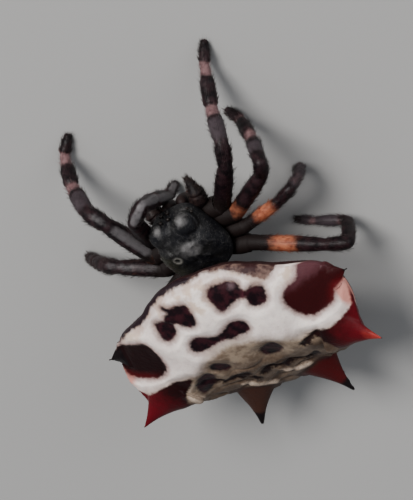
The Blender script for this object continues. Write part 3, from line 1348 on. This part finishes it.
def leg_path(joints):
    """Return a path through the joints with rounded corners, and its place in joints."""
    path = []
    count = []
    for k, (start, end) in enumerate(zip(joints, joints[1:])):
        steps = max(int(np.linalg.norm(end - start) / LEG_STEP), 6)
        share = np.arange(steps) / steps
        path.append(start + np.outer(share, end - start))
        count.append(k + share)
    path = np.concatenate(path + [joints[-1:]])
    count = np.concatenate(count + [[6.0]])
    for _ in range(CORNER_ROUNDS):
        path[1:-1] = path[1:-1] * 0.4 + (path[:-2] + path[2:]) * 0.3
    return path, count


def ring_values(places, rings, softness=RING_SOFTNESS):
    """Return how strongly each place along a leg takes part in a list of rings."""
    value = np.zeros(len(places))
    for low, high, strength in rings:
        rise = smooth_step(low - softness, low + softness, places)
        fall = smooth_step(high + softness, high - softness, places)
        value = np.maximum(value, strength * rise * fall)
    return value


def leg_marks(name, places, outside, axes):
    """Return the numbers for a leg's rings and its stripe, from places and directions."""
    side = STRIPE_SIDE - axes * (axes @ STRIPE_SIDE)[:, None]
    side /= np.maximum(np.linalg.norm(side, axis=1), 0.2)[:, None]
    upper = smooth_step(0.66, 1.0, (outside * side).sum(axis=1))
    return {
        "stripe": ring_values(places, STRIPES.get(name, [])) * upper,
        "pale": ring_values(places, PALE_RINGS[name]),
        "orange": ring_values(places, ORANGE_RINGS.get(name, []), ORANGE_SOFTNESS),
        "grey": ring_values(places, GREY_RINGS[name]),
        "base": smooth_step(1.6, 1.0, places),
    }


def build_leg(name, side, pair):
    """Make one leg's skin, its bristles and its claws."""
    path, count = leg_path(leg_joints(side, pair, LEG_POSES[name]))
    radii = curve_through(LEG_PROFILE, count) * LEG_THICKNESS[name]
    radii = radii * (1 + STOUT_FEET.get(name, 0.0) * smooth_step(3.2, 4.2, count))
    radii = radii * (1 - RING_NARROWING * ring_values(count, PALE_RINGS[name]))
    rings, spokes, tangent = tube_rings(path, radii, LEG_SIDES)
    rings[:, :, 2] = np.maximum(rings[:, :, 2], 0.004)
    surface = skin_rings([path[0], *rings, path[-1] + np.array((0, 0, 0.05))])
    places = np.concatenate([[0.0], np.repeat(count, LEG_SIDES), [6.0]])
    outside = np.concatenate([spokes[0][:1], np.concatenate(spokes), spokes[-1][:1]])
    axes = np.concatenate([tangent[:1], np.repeat(tangent, LEG_SIDES, axis=0), tangent[-1:]])
    nodes = ["leg_" + name + "_" + part for part in LEG_PARTS]
    marks = leg_marks(name, places, outside, axes)
    add_piece("leg_skin_" + name, surface, LEG, nodes, marks)
    build_leg_bristles(name, rings, spokes, tangent, count)
    build_claws(name, path[-1], tangent[-6])


def build_leg_bristles(name, rings, spokes, tangent, count):
    """Set fine bristles along a leg and a few long ones."""
    random = np.random.default_rng(100 + sum(ord(letter) for letter in name))
    wanted = random.uniform(1.1, 5.97, LEG_BRISTLES)
    row = np.clip(np.searchsorted(count, wanted), 0, len(count) - 1)
    turn = random.integers(0, LEG_SIDES, LEG_BRISTLES)
    roots = rings[row, turn]
    outside = spokes[row, turn]
    lie = outside * random.uniform(0.35, 0.9, (LEG_BRISTLES, 1)) + tangent[row]
    lie = lie + random.normal(0, 0.12, (LEG_BRISTLES, 3))
    length = random.uniform(*LEG_BRISTLE_LENGTHS, LEG_BRISTLES)
    length[random.random(LEG_BRISTLES) < LONG_SHARE] *= LONG_STRETCH
    end_height = roots[:, 2] + (lie / np.linalg.norm(lie, axis=1)[:, None] * length[:, None])[:, 2]
    keep = end_height > 0.03
    uv = np.column_stack([turn / LEG_SIDES, count[row] / 6])[keep]
    marks = leg_marks(name, count[row][keep], outside[keep], tangent[row][keep])
    bristles("leg_bristles_" + name, roots[keep], lie[keep], length[keep], BRISTLE_RADIUS,
             (tangent[row] * 0.15)[keep], uv, marks, LEG_BRISTLE)


def build_claws(name, foot, heading):
    """Make the pair of hooked claws at the tip of a foot."""
    forward = heading * (1, 1, 0)
    forward /= np.linalg.norm(forward)
    across = np.cross(forward, (0, 0, 1))
    bend = np.linspace(0, 1, CLAW_STEPS)
    parts = []
    for side in SIDES.values():
        curve = (foot + np.array((0, 0, 0.07))
                 + np.outer(bend * 0.13 - 0.03, forward) + np.outer(0.035 + 0.02 * bend, across) * side
                 + np.outer(0.03 * np.sin(bend * pi) - 0.045 * bend ** 2, (0, 0, 1)))
        parts.append(tube(curve, CLAW_RADIUS * (1 - bend) ** 0.7 + 0.003, CLAW_SIDES))
    points, faces = join(parts)
    points[:, 2] = np.maximum(points[:, 2], 0.002)
    add_piece("claws_" + name, (points, faces), CLAW)


# Down and hairs


def build_down(points, normals, dust):
    """Set short pale down on the carapace, thickest in its pale patches."""
    random = np.random.default_rng(5)
    chosen = scatter(points, 0.02 + 0.4 * dust, DOWN_SPACING, 8)
    chosen = chosen[normals[chosen, 2] > 0.1]
    roots = points[chosen]
    lie = normals[chosen] * 0.4 + np.array((0, 0.8, -0.1)) + random.normal(0, 0.25, (len(chosen), 3))
    uv = np.column_stack([(roots[:, 0] + 2) / 4, (roots[:, 1] + 2) / 4.4])
    lengths = random.uniform(*DOWN_LENGTHS, len(chosen))
    bristles("carapace_down", to_part(roots, CHEST), lie @ CHEST_TURN.T, lengths,
             DOWN_RADIUS, np.array((0, 0, -0.25)), uv, {}, PALE_DOWN)


def build_abdomen_hairs(points, normals, values, near_tip):
    """Set sparse fine hairs on the underside and the rear."""
    random = np.random.default_rng(15)
    keep = (0.25 * values["under"] + 0.05 * values["furrows"]) * (1 - near_tip)
    chosen = scatter(points, keep, HAIR_SPACING, 9)
    roots = points[chosen]
    lie = normals[chosen] * 0.8 + np.array((0, -0.5, 0.0)) + random.normal(0, 0.2, (len(chosen), 3))
    uv = np.column_stack([(roots[:, 0] + 7) / 28 + 0.5 * (normals[chosen, 2] < 0), (roots[:, 1] + 7) / 11])
    lengths = random.uniform(*HAIR_LENGTHS, len(chosen))
    bristles("abdomen_hairs", to_part(roots, ABDOMEN), lie @ ABDOMEN_TURN.T, lengths,
             DOWN_RADIUS, np.array((0, 0, -0.1)), uv, {}, DARK_BRISTLE)


# Stage


def view_axes():
    """Return the photo's view: towards the camera, to its right and up."""
    back = np.array((sin(VIEW_TILT), cos(VIEW_TILT) * sin(VIEW_SWING), cos(VIEW_TILT) * cos(VIEW_SWING)))
    level = np.array((1.0, 0, 0)) - back[0] * back
    level /= np.linalg.norm(level)
    rise = np.cross(back, level)
    right = cos(VIEW_ROLL) * level - sin(VIEW_ROLL) * rise
    up = sin(VIEW_ROLL) * level + cos(VIEW_ROLL) * rise
    return back, right, up


def build_camera():
    """Set the camera so that the spider falls on the same pixels as in the photo."""
    back, right, up = view_axes()
    scale = SPAN_PIXELS / (2 * HALF_SPAN * cos(VIEW_TILT))
    offset = np.array(SPAN_CENTRE_PIXEL) - np.array(PHOTO_SIZE) / 2
    aim = ABDOMEN_PLACE - right * offset[0] / scale + up * offset[1] / scale - STANCE_CENTRE
    place = (aim + back * CAMERA_DISTANCE) * MM
    lens = bpy.data.cameras.new("camera")
    lens.sensor_width = SENSOR
    lens.lens = scale * CAMERA_DISTANCE * SENSOR / max(PHOTO_SIZE)
    lens.clip_start = 0.01
    lens.clip_end = 10.0
    camera = new_object("camera", lens)
    camera.matrix_world = Matrix([*zip(right, up, back, place), (0, 0, 0, 1)])
    bpy.context.scene.camera = camera


def add_light(name, towards, distance, size, power, colour, gloss):
    """Add a soft round light that faces the spider; gloss is its share in highlights."""
    light = bpy.data.lights.new(name, "AREA")
    light.shape = "DISK"
    light.size = size
    light.energy = power
    light.color = colour
    light.specular_factor = gloss
    holder = new_object(name, light)
    towards = Vector(towards).normalized()
    holder.location = towards * distance + Vector((0, 0, 0.004))
    holder.rotation_mode = "QUATERNION"
    holder.rotation_quaternion = towards.to_track_quat("Z", "Y")


def build_stage():
    """Make the pale floor, the soft lights and the faint light all round."""
    floor = bpy.data.meshes.new("floor")
    corners = [(x * FLOOR_REACH, y * FLOOR_REACH, 0) for x, y in ((-1, -1), (1, -1), (1, 1), (-1, 1))]
    floor.from_pydata(corners, [], [(0, 1, 2, 3)])
    floor.materials.append(plain_material("pale_floor", 0.02, ("floor", "floor_light"), 0.85, 0.5))
    new_object("floor", floor)
    back, right, up = (Vector(axis) for axis in view_axes())
    add_light("key", back * 0.81 - right * 0.58 + up * 0.12, 0.30, 0.16, 1.22, WARM_LIGHT, 1.0)
    add_light("fill", back * 0.8 + right * 0.5 + up * 0.3, 0.40, 0.30, 0.55, COOL_LIGHT, 0.15)
    add_light("rim", Vector((-0.6, 0.7, 0.45)), 0.40, 0.25, 0.20, COOL_LIGHT, 0.4)
    world = bpy.data.worlds.new("world")
    world.use_nodes = True
    background = world.node_tree.nodes["Background"]
    background.inputs["Color"].default_value = SKY_LIGHT
    background.inputs["Strength"].default_value = SKY_STRENGTH
    bpy.context.scene.world = world


def main():
    """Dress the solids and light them."""
    build_camera()
    build_stage()
    abdomen = build_abdomen()
    build_spinnerets()
    chest = build_chest()
    build_eyes()
    build_jaws()
    build_palps()
    for side_name, side in SIDES.items():
        for pair in LEG_LENGTHS:
            build_leg(side_name + "_" + str(pair), side, pair)
    build_down(*chest)
    build_abdomen_hairs(*abdomen)


main()
